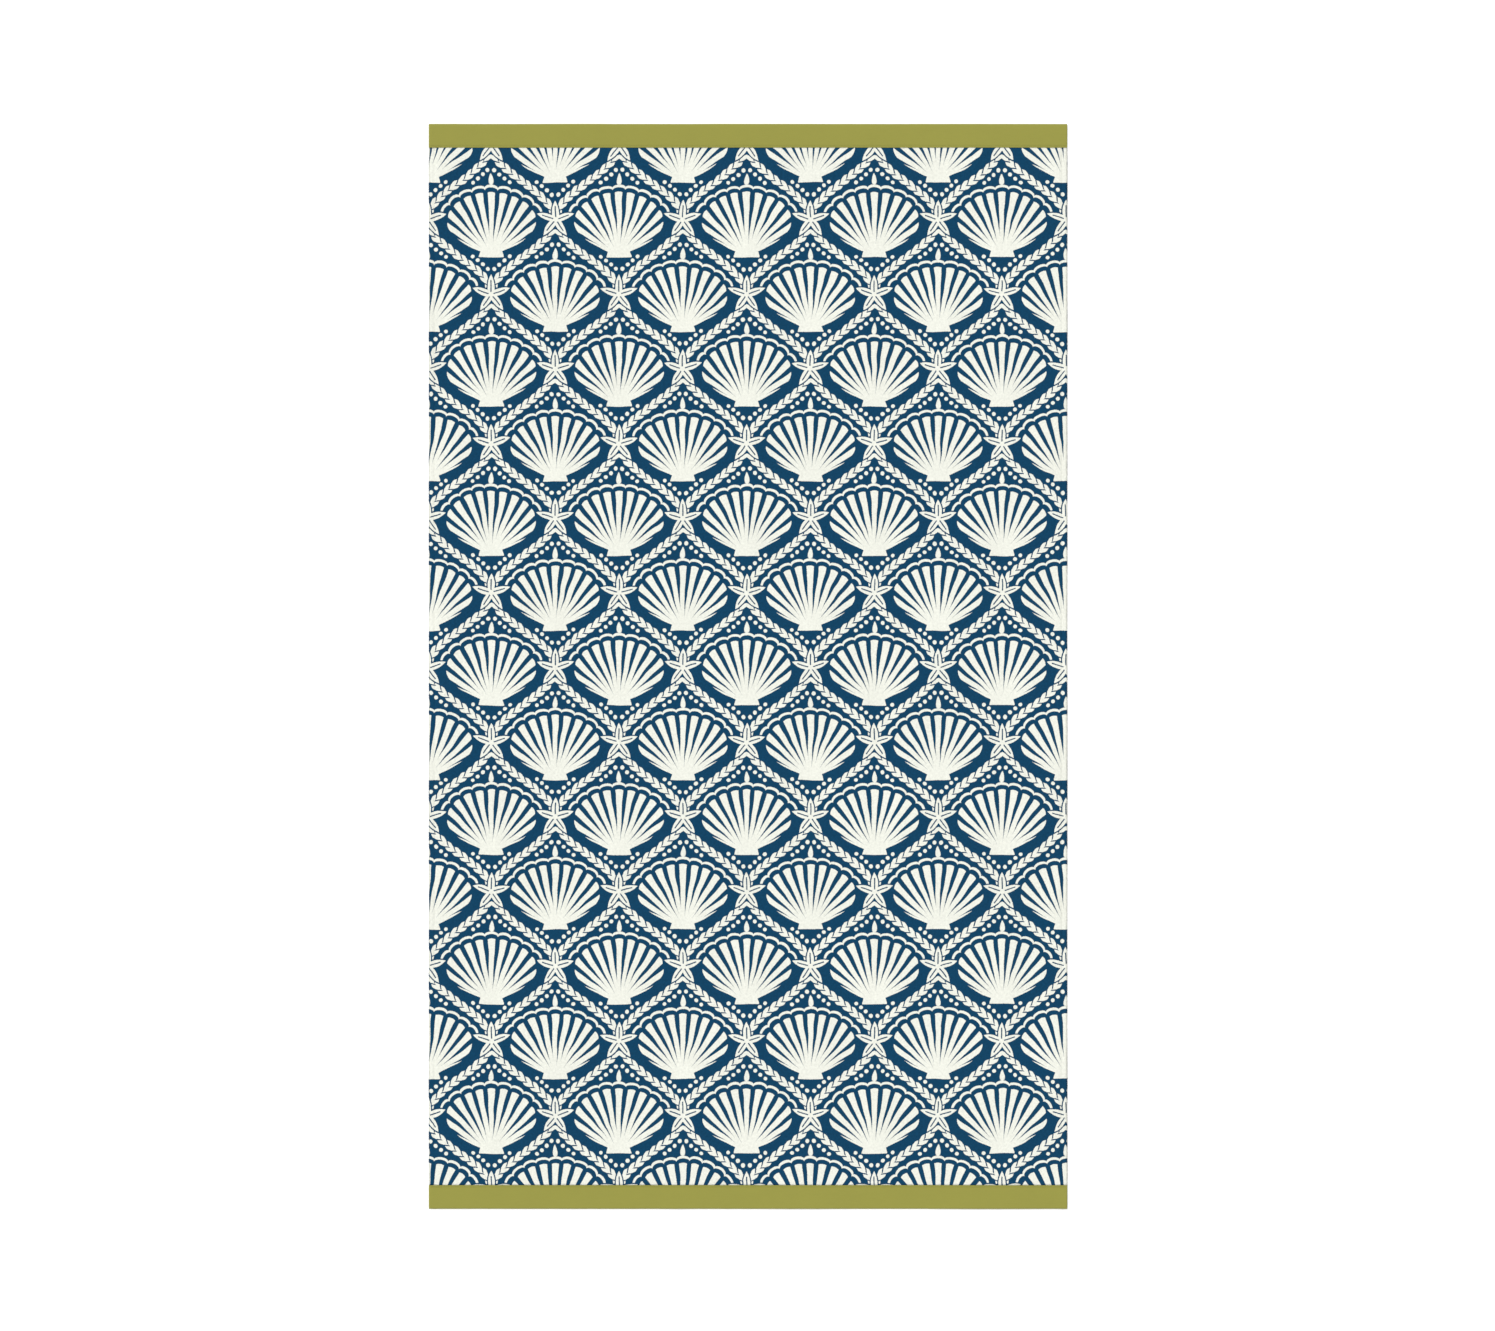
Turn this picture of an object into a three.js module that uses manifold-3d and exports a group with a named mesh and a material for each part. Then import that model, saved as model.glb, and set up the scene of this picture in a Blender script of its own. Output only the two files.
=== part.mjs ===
// A beach towel lying flat: one panel of cotton terry with a printed velour face,
// and a plain olive band folded round each cut end and sewn down.
//
// Millimetres. The origin is on the surface the towel lies on, under its middle.
// X runs across the towel, Y along it, and Z up from the surface.

import * as THREE from "three";
import { mergeVertices } from "three/addons/utils/BufferGeometryUtils.js";
import Module from "manifold-3d";

// The whole towel, edge to edge.
const towelWidth = 1000;
const towelLength = 1700;

// The bands on the two ends.
const bandDepth = 37.5;
const bandThickness = 3.2;
const bandCloth = 0.55; // one layer of the band's own cloth

// The terry panel between them.
const pileHeight = 3.5; // ground cloth and the pile on both faces
const tongueThickness = 1.5; // the panel's end, pressed flat inside the band
const tongueSpare = 4; // from the tongue's end to the band's fold
const clearance = 0.3; // between pieces that touch

const halfWidth = towelWidth / 2;
const halfLength = towelLength / 2;
const bandInnerEdge = halfLength - bandDepth;
const pileEnd = bandInnerEdge - clearance;

// The panel's side hem, turned to the back and sewn: the height of the face
// at each distance in from the side edge. The rows end at the underside.
const sideHem = [
  { inset: 14.0, height: pileHeight },
  { inset: 11.0, height: 3.4 },
  { inset: 9.5, height: 2.9 },
  { inset: 8.5, height: 2.5 }, // the row of stitches draws the pile down
  { inset: 7.5, height: 2.9 },
  { inset: 6.0, height: 3.2 },
  { inset: 3.5, height: 3.35 }, // the roll of the turned edge
  { inset: 1.6, height: 3.05 },
  { inset: 0.5, height: 2.3 },
  { inset: 0.0, height: 1.45 },
  { inset: 0.3, height: 0.55 },
  { inset: 1.1, height: 0 },
];

// Where the pile meets a band it leans over the seam: the share of the height
// that is left at each distance back from the seam.
const pileLean = [
  { back: 0, share: 0.8 },
  { back: 0.7, share: 0.93 },
  { back: 2.2, share: 1 },
];

// The band's outer section: round the fold at the towel's end, over the face from
// there to the inner edge. Each row is the distance in from the fold, and the height.
const bandSection = [
  { inset: bandDepth, height: 0.4 },
  { inset: bandDepth - 0.3, height: 0 },
  { inset: 1.5, height: 0 },
  { inset: 0.45, height: 0.55 },
  { inset: 0, height: bandThickness / 2 },
  { inset: 0.45, height: 2.45 },
  { inset: 1.5, height: 3.05 },
  { inset: 3.0, height: bandThickness },
  { inset: bandDepth - 4.4, height: bandThickness },
  { inset: bandDepth - 3.0, height: 2.85 }, // the row of stitches
  { inset: bandDepth - 1.6, height: bandThickness },
  { inset: bandDepth - 0.5, height: 3.1 },
  { inset: bandDepth, height: 2.75 },
];

// The band's short ends are tucked in: the share of the thickness that is left
// at each distance in from the side edge.
const tuckedEnd = [
  { back: 0, share: 0.62 },
  { back: 0.4, share: 0.86 },
  { back: 1.3, share: 1 },
];

const colours = {
  terry: "#174467",
  band: "#a09d4e",
};

const wasm = await Module();
wasm.setup();

// A closed geometry as a solid that can be joined and cut.
function solidFrom(geometry) {
  const bare = geometry.clone();
  bare.deleteAttribute("normal");
  bare.deleteAttribute("uv");
  const merged = mergeVertices(bare, 1e-4);
  return new wasm.Manifold(
    new wasm.Mesh({
      numProp: 3,
      vertProperties: merged.attributes.position.array,
      triVerts: new Uint32Array(merged.index.array),
    }),
  );
}

function geometryFrom(solid) {
  const mesh = solid.getMesh();
  return new THREE.BufferGeometry()
    .setAttribute("position", new THREE.BufferAttribute(mesh.vertProperties, 3))
    .setIndex(new THREE.BufferAttribute(mesh.triVerts, 1));
}

// A skin over rings of points, each ring one section, with a flat cap on both ends.
// Rings run anticlockwise as seen from the far end, so that the faces look outwards.
function skinOver(rings, flatten) {
  const count = rings[0].length;
  const positions = rings.flat().flatMap((point) => point.toArray());
  const faces = [];
  for (let ring = 0; ring + 1 < rings.length; ring += 1) {
    for (let i = 0; i < count; i += 1) {
      const next = (i + 1) % count;
      const [a, b] = [ring * count + i, ring * count + next];
      const [c, d] = [a + count, b + count];
      faces.push(a, b, d, a, d, c);
    }
  }
  const last = (rings.length - 1) * count;
  const nearCap = THREE.ShapeUtils.triangulateShape(rings[0].map(flatten), []);
  const farCap = THREE.ShapeUtils.triangulateShape(rings.at(-1).map(flatten), []);
  nearCap.forEach(([a, b, c]) => faces.push(a, c, b));
  farCap.forEach(([a, b, c]) => faces.push(last + a, last + b, last + c));
  return new THREE.BufferGeometry()
    .setAttribute("position", new THREE.Float32BufferAttribute(positions, 3))
    .setIndex(faces);
}

// Stations along a piece, from one end to the other, with the share at each.
function stationsAlong(halfSpan, rows) {
  const near = rows.map(({ back, share }) => ({ at: back - halfSpan, share }));
  const far = rows.map(({ back, share }) => ({ at: halfSpan - back, share }));
  return [...near, ...far.reverse()];
}

// The pile part of the panel: the hem's section carried along the towel.
function pileBody() {
  const right = sideHem.map(({ inset, height }) => [halfWidth - inset, height]);
  const left = right.map(([x, z]) => [-x, z]).reverse();
  const section = [...left, ...right];
  const rings = stationsAlong(pileEnd, pileLean).map(({ at, share }) =>
    section.map(([x, z]) => new THREE.Vector3(x, at, z * share)),
  );
  return solidFrom(skinOver(rings, (point) => new THREE.Vector2(-point.x, point.z)));
}

// The thin end of the panel that goes into a band.
function tongueAt(end) {
  const reach = bandDepth + clearance - tongueSpare;
  const width = towelWidth - 2 * (bandCloth + clearance + 1);
  const tongue = new THREE.BoxGeometry(width, reach + 1, tongueThickness);
  tongue.translate(0, end * (pileEnd + (reach - 1) / 2), bandThickness / 2);
  return solidFrom(tongue);
}

function terryPanel() {
  const whole = pileBody().add(tongueAt(1)).add(tongueAt(-1));
  return geometryFrom(whole);
}

// A band is a sleeve, open only along its inner edge, where the panel goes in.
function endBand() {
  const section = bandSection.map(({ inset, height }) => [halfLength - inset, height]);
  const rings = stationsAlong(halfWidth, tuckedEnd).map(({ at, share }) =>
    section.map(([y, z]) => {
      const middle = bandThickness / 2;
      return new THREE.Vector3(at, y, middle + (z - middle) * share);
    }),
  );
  const outside = solidFrom(
    skinOver(rings, (point) => new THREE.Vector2(point.y, point.z)),
  );
  const pocketHeight = tongueThickness + 2 * clearance;
  const pocketDepth = bandDepth - tongueSpare + clearance;
  const pocket = new THREE.BoxGeometry(
    towelWidth - 2 * (bandCloth + 1),
    pocketDepth + 1,
    pocketHeight,
  );
  pocket.translate(0, bandInnerEdge + (pocketDepth - 1) / 2, bandThickness / 2);
  return geometryFrom(outside.subtract(solidFrom(pocket)));
}

function clothPiece(name, geometry, colour, roughness) {
  const material = new THREE.MeshStandardMaterial({ color: colour, roughness, metalness: 0 });
  const piece = new THREE.Mesh(geometry, material);
  piece.name = name;
  return piece;
}

const towel = new THREE.Group();
towel.name = "beach_towel";

towel.add(clothPiece("terry_panel", terryPanel(), colours.terry, 0.95));

const bandGeometry = endBand();
towel.add(clothPiece("end_band_top", bandGeometry, colours.band, 0.85));

const bottomBand = clothPiece("end_band_bottom", bandGeometry, colours.band, 0.85);
bottomBand.rotation.z = Math.PI;
towel.add(bottomBand);

export default towel;
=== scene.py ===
# A beach towel lying flat, seen from straight above: a printed velour panel
# with a plain olive tape sewn round each end.
import math
import random

import bmesh
import bpy
from mathutils import Matrix, Vector, noise


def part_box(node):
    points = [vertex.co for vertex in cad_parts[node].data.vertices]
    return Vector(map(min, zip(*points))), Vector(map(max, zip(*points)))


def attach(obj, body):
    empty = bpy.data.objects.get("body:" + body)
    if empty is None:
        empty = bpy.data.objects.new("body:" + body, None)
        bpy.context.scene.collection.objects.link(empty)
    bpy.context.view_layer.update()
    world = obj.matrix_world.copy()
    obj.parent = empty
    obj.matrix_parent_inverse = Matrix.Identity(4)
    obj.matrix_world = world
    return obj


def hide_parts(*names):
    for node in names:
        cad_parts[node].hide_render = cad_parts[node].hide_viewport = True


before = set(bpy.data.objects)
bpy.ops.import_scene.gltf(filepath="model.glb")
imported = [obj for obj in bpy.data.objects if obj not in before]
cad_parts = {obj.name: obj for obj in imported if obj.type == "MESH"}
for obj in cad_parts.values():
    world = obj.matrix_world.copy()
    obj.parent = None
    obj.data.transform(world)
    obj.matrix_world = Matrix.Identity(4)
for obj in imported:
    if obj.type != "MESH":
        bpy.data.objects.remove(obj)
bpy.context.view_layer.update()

print("frame", len(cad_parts), "solids")
mm = 0.001


# A solid's lowest and highest corner, to a hundredth of a millimetre.
def solidBox(node):
    return [[round(value, 5) for value in corner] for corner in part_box(node)]


panelHigh = solidBox("terry_panel")[1]
bandLow, bandHigh = solidBox("end_band_top")

# The towel's main sizes, as the solids have them.
towel = {
    "halfWidth": panelHigh[0],
    "halfLength": bandHigh[1],
    "bandDepth": bandHigh[1] - bandLow[1],
    "bandThickness": bandHigh[2],
    "pileHeight": panelHigh[2],
    "clearance": 0.3 * mm,  # from the panel's pile to a band
}
bandInnerEdge = towel["halfLength"] - towel["bandDepth"]
pileEnd = bandInnerEdge - towel["clearance"]


# Camera

camera = {
    "lens": 85.0,  # mm
    "sensor": 36.0,  # mm
    "viewWidth": 2341.9 * mm,  # what the frame takes in, at the towel's face
    "centre": (-0.8 * mm, 1.4 * mm),  # the point under the middle of the frame
    "sight": 50.0,  # how far it sees, in metres
}


def addCamera():
    data = bpy.data.cameras.new("camera")
    data.lens = camera["lens"]
    data.sensor_width = camera["sensor"]
    data.clip_end = camera["sight"]
    height = camera["viewWidth"] * camera["lens"] / camera["sensor"]
    eye = bpy.data.objects.new("camera", data)
    eye.location = (*camera["centre"], height + towel["pileHeight"])
    bpy.context.scene.collection.objects.link(eye)
    bpy.context.scene.camera = eye
    print("camera", round(height, 3), "m above the towel")


addCamera()


# Shader maths

# One output of a node, so that shader maths reads as arithmetic.
class Signal:
    def __init__(self, finish, socket):
        self.finish = finish
        self.socket = socket

    def maths(self, operation, *others):
        return self.finish.maths(operation, self, *others)

    def __add__(self, other):
        return self.maths("ADD", other)

    def __radd__(self, other):
        return self.finish.maths("ADD", other, self)

    def __sub__(self, other):
        return self.maths("SUBTRACT", other)

    def __rsub__(self, other):
        return self.finish.maths("SUBTRACT", other, self)

    def __mul__(self, other):
        return self.maths("MULTIPLY", other)

    def __rmul__(self, other):
        return self.finish.maths("MULTIPLY", other, self)

    def __truediv__(self, other):
        return self.maths("DIVIDE", other)

    def __rtruediv__(self, other):
        return self.finish.maths("DIVIDE", other, self)

    def __pow__(self, other):
        return self.maths("POWER", other)

    def __rpow__(self, other):
        return self.finish.maths("POWER", other, self)

    def __gt__(self, other):
        return self.maths("GREATER_THAN", other)

    def __lt__(self, other):
        return self.maths("LESS_THAN", other)

    def __abs__(self):
        return self.maths("ABSOLUTE")

    # Another output of the same node.
    def also(self, output):
        return Signal(self.finish, self.socket.node.outputs[output])

    def sine(self):
        return self.maths("SINE")

    def cosine(self):
        return self.maths("COSINE")

    def root(self):
        return self.maths("SQRT")

    def least(self, other):
        return self.maths("MINIMUM", other)

    def most(self, other):
        return self.maths("MAXIMUM", other)

    # From the nearest whole multiple of the step, with a sign.
    def offNearest(self, step):
        return self.maths("WRAP", step / 2, -step / 2)

    # A signal from 0 to 1 as a change up and down, so wide in all.
    def swing(self, width):
        return (self - 0.5) * width

    # 0 below the low end, 1 above the high end, with a soft rise between.
    def rise(self, low, high):
        return self.finish.node(
            "ShaderNodeMapRange",
            {"interpolation_type": "SMOOTHSTEP"},
            {0: self, 1: low, 2: high, 3: 0.0, 4: 1.0},
        )


# A material that is being put together round one Principled shader.
class Finish:
    def __init__(self, name, **constants):
        self.material = bpy.data.materials.new(name)
        self.material.use_nodes = True
        self.tree = self.material.node_tree
        self.tree.nodes.clear()
        self.shader = self.tree.nodes.new("ShaderNodeBsdfPrincipled")
        output = self.tree.nodes.new("ShaderNodeOutputMaterial")
        self.tree.links.new(self.shader.outputs[0], output.inputs[0])
        self.use(**constants)

    # Adds any node: its settings are set first, then its sockets' values or links.
    def node(self, kind, settings=None, sockets=None, output=0):
        made = self.tree.nodes.new(kind)
        for key, value in (settings or {}).items():
            setattr(made, key, value)
        for key, value in (sockets or {}).items():
            self.join(made.inputs[key], value)
        return Signal(self, made.outputs[output])

    def join(self, socket, value):
        if isinstance(value, Signal):
            self.tree.links.new(value.socket, socket)
        else:
            socket.default_value = value

    def maths(self, operation, *values):
        settings = {"operation": operation}
        return self.node("ShaderNodeMath", settings, dict(enumerate(values)))

    def vectorMaths(self, operation, *values):
        settings = {"operation": operation}
        return self.node("ShaderNodeVectorMath", settings, dict(enumerate(values)))

    def scaled(self, vector, factor):
        return self.node("ShaderNodeVectorMath", {"operation": "SCALE"}, {0: vector, 3: factor})

    # A place whose x and y run faster or slower, for a pattern that isn't round.
    def squeezed(self, place, x, y):
        return self.vectorMaths("MULTIPLY", place, (x, y, 1.0))

    def parts(self, vector):
        x = self.node("ShaderNodeSeparateXYZ", None, {0: vector})
        return x, x.also("Y"), x.also("Z")

    # The second value where the mask is 1, the first where it is 0.
    def choose(self, mask, first, second):
        return self.node("ShaderNodeMix", {"data_type": "FLOAT"}, {0: mask, 2: first, 3: second})

    # The same for two colours, or one colour over another in some other mode.
    def blend(self, mask, first, second, mode="MIX"):
        settings = {"data_type": "RGBA", "blend_type": mode}
        return self.node("ShaderNodeMix", settings, {0: mask, 6: first, 7: second}, 2)

    # A colour made lighter or darker.
    def shaded(self, colour, shade):
        grey = self.node("ShaderNodeCombineXYZ", None, {0: shade, 1: shade, 2: shade})
        return self.blend(1.0, colour, grey, "MULTIPLY")

    # The place on the object, in millimetres.
    def place(self):
        return self.scaled(self.node("ShaderNodeTexCoord", output="Object"), 1 / mm)

    # Soft noise with features of about that size, in two dimensions as the towel is flat.
    def wander(self, place, size, detail=1.0, output=0):
        sockets = {"Vector": place, "Scale": 1 / size, "Detail": detail}
        return self.node("ShaderNodeTexNoise", {"noise_dimensions": "2D"}, sockets, output)

    # Cells of about that size: the distance from a cell's middle, and its own number.
    def cells(self, place, size, randomness):
        distance = self.node(
            "ShaderNodeTexVoronoi",
            {"voronoi_dimensions": "2D"},
            {"Vector": place, "Scale": 1 / size, "Randomness": randomness},
        )
        number, _, _ = self.parts(distance.also("Color"))
        return distance, number

    def bump(self, height, depth, strength):
        sockets = {"Strength": strength, "Distance": depth, "Height": height}
        return self.node("ShaderNodeBump", None, sockets)

    # Gives the shader its values or links, named as its sockets are.
    def use(self, **sockets):
        for name, value in sockets.items():
            self.join(self.shader.inputs[name.replace("_", " ")], value)
        return self.material


def srgb(red, green, blue):
    def linear(value):
        value = value / 255
        return value / 12.92 if value <= 0.04045 else ((value + 0.055) / 1.055) ** 2.4

    return (linear(red), linear(green), linear(blue), 1.0)


# The print

# Scallop shells in an arched trellis of plaited rope, with a starfish at each
# crossing and beads inside the arches. All lengths in the print are in millimetres.
ink = {
    "edge": 0.35,  # how soft a printed edge is
    # The lines wander a little by hand, and the pile roughens their edges.
    "strays": [
        {"size": 38.0, "detail": 1.0, "by": 3.4},
        {"size": 1.1, "detail": 0.0, "by": 0.7},
    ],
}


# 1 where the distance is below nothing, 0 outside.
def within(distance):
    return 1 - distance.rise(-ink["edge"], ink["edge"])


trellis = {
    "halfCell": (100.0, 117.0),  # of an arched cell, across and up
    "stretch": 1.34,  # how much longer an arch is than it is high
    "ease": 6.2,  # how far the steps along it shift, so that they stay even
    "ropeHalf": 5.6,
    "strandStep": 14.0,
    "strandBulge": 0.9,
    "strandSlant": 1.3,
    "markHalf": 1.5,  # the dark line between two strands
    "ropeGap": 2.4,  # bare cloth beside the rope
    "beadIn": 13.2,  # from the rope's middle
    "beadStep": 9.5,
    "beadRadius": 2.9,
    "beadRun": (9.5, 13.5),  # the beads that show, counted from the cell's middle
}


# The place in the arched cell that holds this point: across and up from its middle.
def archedCell(finish, x, y):
    halfWide, halfHigh = trellis["halfCell"]
    firstX = x.offNearest(2 * halfWide)
    firstY = y.offNearest(2 * halfHigh)
    secondX = (x - halfWide).offNearest(2 * halfWide)
    secondY = (y - halfHigh).offNearest(2 * halfHigh)
    arch = ((firstY * (math.pi / halfHigh)).cosine() + 1) * (halfWide / 2)
    first = abs(firstX) < arch
    return finish.choose(first, secondX, firstX), finish.choose(first, secondY, firstY)


# The distance in from the cell's edge, and the distance along it.
def alongArch(across, up):
    halfWide, halfHigh = trellis["halfCell"]
    turn = up * (math.pi / halfHigh)
    slope = turn.sine() * (halfWide * math.pi / (2 * halfHigh))
    steep = (slope * slope + 1).root()
    inward = ((turn.cosine() + 1) * (halfWide / 2) - abs(across)) / steep
    foot = up + inward * slope / steep
    ease = (foot * (2 * math.pi / halfHigh)).sine() * trellis["ease"]
    return inward, foot * trellis["stretch"] - ease


# The rope, the beads, and the strip that the rope keeps clear.
def ropeAndBeads(inward, along):
    step = trellis["strandStep"]
    bulge = (along * (2 * math.pi / step)).cosine() * trellis["strandBulge"]
    outside = inward - trellis["ropeHalf"] - bulge
    mark = abs((along - inward * trellis["strandSlant"]).offNearest(step))
    rope = within(outside) * (1 - within(mark - trellis["markHalf"]))
    offBead = along.offNearest(trellis["beadStep"])
    order = abs((along - offBead) / trellis["beadStep"])
    firstBead, lastBead = trellis["beadRun"]
    offCentre = inward - trellis["beadIn"]
    bead = within((offCentre * offCentre + offBead * offBead).root() - trellis["beadRadius"])
    beads = bead * (order > firstBead) * (order < lastBead)
    return rope, beads, within(outside - trellis["ropeGap"])


scallop = {
    "hinge": 57.0,  # below the cell's middle
    "radius": 95.0,
    "spread": math.radians(67),  # to each side of upright
    "bow": (5.0, 1 / 2.6),  # powers that turn the rim in at the sides
    "ribSpread": math.radians(11.2),
    "ribCrown": 5.5,
    "grooveHalf": 3.7,
    "grooveSwell": 0.8,
    "grooveFrom": (16.0, 20.0),  # from the hinge: the nearest start, and the scatter
    "grooveShuffle": (0.37, 0.13),  # each groove's own share of the scatter
    "hingeHalf": 19.5,
    "hingeHeight": 15.0,
    "hingeTaper": 0.25,
    "hingeDrop": 2.0,
    "lineOut": 10.0,  # one scalloped line outside the rim
    "lineHalf": 2.0,
    "lineSpread": 1.1,  # times the shell's
    "lineCrown": 4.5,
    "lineRibs": 4.5,  # how many ribs it covers on each side
    "dropOut": 25.0,  # a drop over the crown
    "dropHalf": 3.6,
    "dropLong": 9.0,
    "dropTaper": 0.45,
    "dropEdge": 3.0,
}


# How far the rim stands from the hinge at an angle from upright.
def rimRadius(angle, spread):
    late, soft = scallop["bow"]
    lean = (abs(angle) / spread).least(1.0)
    return (1 - lean**late) ** soft * scallop["radius"]


def scallopShell(across, up):
    fromHinge = up + scallop["hinge"]
    radius = (across * across + fromHinge * fromHinge).root()
    angle = across.maths("ARCTAN2", fromHinge)
    rib = scallop["ribSpread"]
    offRib = angle.offNearest(rib)
    crown = (1 - (offRib * (2 / rib)) ** 2.0).most(0.0).root()

    # Grooves between the ribs, each starting at its own distance from the hinge.
    nearest, scatter = scallop["grooveFrom"]
    turn, shift = scallop["grooveShuffle"]
    number = (angle / rib).maths("FLOOR")
    start = (number * turn + shift).maths("FLOORED_MODULO", 1.0) * scatter + nearest
    grown = ((radius - start) / (scallop["radius"] - start)).rise(0.0, 1.0)
    width = grown ** scallop["grooveSwell"] * scallop["grooveHalf"]
    groove = within(radius * (rib / 2 - abs(offRib)) - width) * (radius > start)
    rim = rimRadius(angle, scallop["spread"]) + crown * scallop["ribCrown"]
    fan = within(radius - rim) * (1 - groove) * (abs(angle) < scallop["spread"])

    # The hinge's two ears.
    high = scallop["hingeHeight"]
    taper = 1 - (fromHinge / high).most(0.0).least(1.0) * scallop["hingeTaper"]
    ears = within(abs(across) - taper * scallop["hingeHalf"])
    ears = ears * within(abs(fromHinge - high / 2 + scallop["hingeDrop"]) - high / 2)

    lineRim = rimRadius(angle, scallop["spread"] * scallop["lineSpread"])
    offLine = abs(radius - lineRim - scallop["lineOut"] - crown * scallop["lineCrown"])
    line = within(offLine - scallop["lineHalf"]) * (abs(angle) < scallop["lineRibs"] * rib)

    rise = (radius - scallop["radius"] - scallop["dropOut"]) / scallop["dropLong"]
    swell = across / ((1 - rise * scallop["dropTaper"]) * scallop["dropHalf"])
    drop = within(((rise * rise + swell * swell).root() - 1) * scallop["dropEdge"])
    return fan.most(ears), line, drop


star = {
    "inner": 9.0,
    "outer": 30.5,
    "sharpness": 1.5,
    "spineHalf": 0.9,
    "spineFrom": 4.0,
    "spineTo": 0.72,  # of the outer radius
    "gap": 4.0,  # bare cloth round it
}


# The starfish, and the place that it keeps clear.
def starfish(finish, across, up):
    halfWide, halfHigh = trellis["halfCell"]
    upper = up - up.maths("SIGN") * halfHigh
    side = across - across.maths("SIGN") * halfWide
    toEnd = across * across + upper * upper
    toSide = side * side + up * up
    nearEnd = toEnd < toSide
    x = finish.choose(nearEnd, side, across)
    y = finish.choose(nearEnd, up, upper)
    radius = toEnd.least(toSide).root()
    arm = math.tau / 5
    offArm = x.maths("ARCTAN2", y).offNearest(arm)
    inner, outer = star["inner"], star["outer"]
    reach = (1 - abs(offArm) * (2 / arm)) ** star["sharpness"] * (outer - inner) + inner
    spine = within(abs(radius * offArm.sine()) - star["spineHalf"])
    spine = spine * (radius > star["spineFrom"]) * (radius < outer * star["spineTo"])
    return within(radius - reach) * (1 - spine), within(radius - reach - star["gap"])


# The share of cream over navy, from 0 to 1.
def printedCream(finish, place):
    moved = place
    for stray in ink["strays"]:
        aside = finish.wander(place, stray["size"], stray["detail"], output="Color")
        moved = finish.vectorMaths("ADD", moved, finish.scaled(aside, stray["by"]))
    x, y, _ = finish.parts(moved)
    across, up = archedCell(finish, x, y)
    rope, beads, aroundRope = ropeAndBeads(*alongArch(across, up))
    shell, line, drop = scallopShell(across, up)
    starBody, aroundStar = starfish(finish, across, up)
    cream = shell.most(line) * (1 - aroundRope)
    cream = cream.most(drop).most(rope).most(beads)
    return (cream * (1 - aroundStar)).most(starBody)


# Finishes

# Sizes in a pattern are in millimetres. Its tone, relief and rough say how much
# each part of it changes the colour, the height and the roughness.
velour = {
    "navy": srgb(4, 55, 84),
    "cream": srgb(213, 214, 204),
    "tuft": 0.95,  # from one tuft of pile to the next
    "scatter": 0.9,
    "gapEdge": (0.3, 0.75),
    "fibre": 0.45,
    "clump": 3.6,  # across a patch of tufts that lie the same way
    "nap": 40.0,
    "napSqueeze": (1.0, 0.3),
    # In the tone, gap is painted shade between the tufts; lean, clump and nap are painted sheen of
    # pile lying different ways, and fibre differs at random.
    "tone": {
        "level": 1.01, "gap": -0.06, "lean": 0.03, "fibre": 0.24, "nap": 0.1,
        "clump": 0.42, "lessOnCream": 0.18,
    },
    "relief": {"gap": -0.26, "lean": 0.12, "fibre": 0.7, "clump": 0.9},
    "rough": {"level": 0.9, "gap": 0.06, "nap": 0.08},
    "depth": 0.55 * mm,
    "strength": 0.9,
}


def printedVelour():
    finish = Finish(
        "printed_velour", Sheen_Weight=0.03, Sheen_Roughness=0.5, Specular_IOR_Level=0.12
    )
    place = finish.place()
    cream = printedCream(finish, place)
    # Each tuft's own number lightens or darkens its colour: painted sheen from the way it leans.
    fromTuft, lean = finish.cells(place, velour["tuft"], velour["scatter"])
    # The gap between the tufts sinks the bump and also darkens the colour, as painted shade.
    gap = fromTuft.rise(*velour["gapEdge"])  # dark, between the tufts
    fibre = finish.wander(place, velour["fibre"], detail=2.0)
    clump = finish.wander(place, velour["clump"], detail=2.0)
    brushed = finish.squeezed(place, *velour["napSqueeze"])
    nap = finish.wander(brushed, velour["nap"], detail=2.0)

    tone = velour["tone"]
    shade = gap * tone["gap"] + lean.swing(tone["lean"]) + fibre.swing(tone["fibre"])
    # Patches of pile that lie over together are painted lighter or darker as painted sheen, which
    # shows more in the dark colour.
    shade = shade + clump.swing(tone["clump"] - cream * tone["lessOnCream"])
    # The brushed nap adds painted sheen in long lighter and darker streaks.
    shade = shade + nap.swing(tone["nap"]) + tone["level"]
    colour = finish.shaded(finish.blend(cream, velour["navy"], velour["cream"]), shade)
    relief = velour["relief"]
    height = gap * relief["gap"] + lean * relief["lean"]
    height = height + fibre * relief["fibre"] + clump * relief["clump"]
    normal = finish.bump(height, velour["depth"], velour["strength"])
    rough = velour["rough"]
    roughness = gap * rough["gap"] + nap.swing(rough["nap"]) + rough["level"]
    return finish.use(Base_Color=colour, Roughness=roughness, Normal=normal)


backLoops = {
    "undyed": srgb(206, 204, 193),
    "pitch": (1.5, 2.1),  # from one loop to the next, and between their rows
    "scatter": 0.85,
    "gapEdge": (0.35, 0.85),
    "yarn": 0.5,
    "patch": 22.0,
    # In the tone, gap is painted shade between the loops and lean is painted sheen on each loop;
    # yarn and patch differ at random.
    "tone": {"level": 0.98, "gap": -0.14, "lean": 0.05, "yarn": 0.1, "patch": 0.07},
    "relief": {"loop": 0.7, "lean": 0.3, "yarn": 0.2},
    "rough": {"level": 0.9, "gap": 0.06},
    "depth": 0.9 * mm,
    "strength": 0.9,
}


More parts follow.
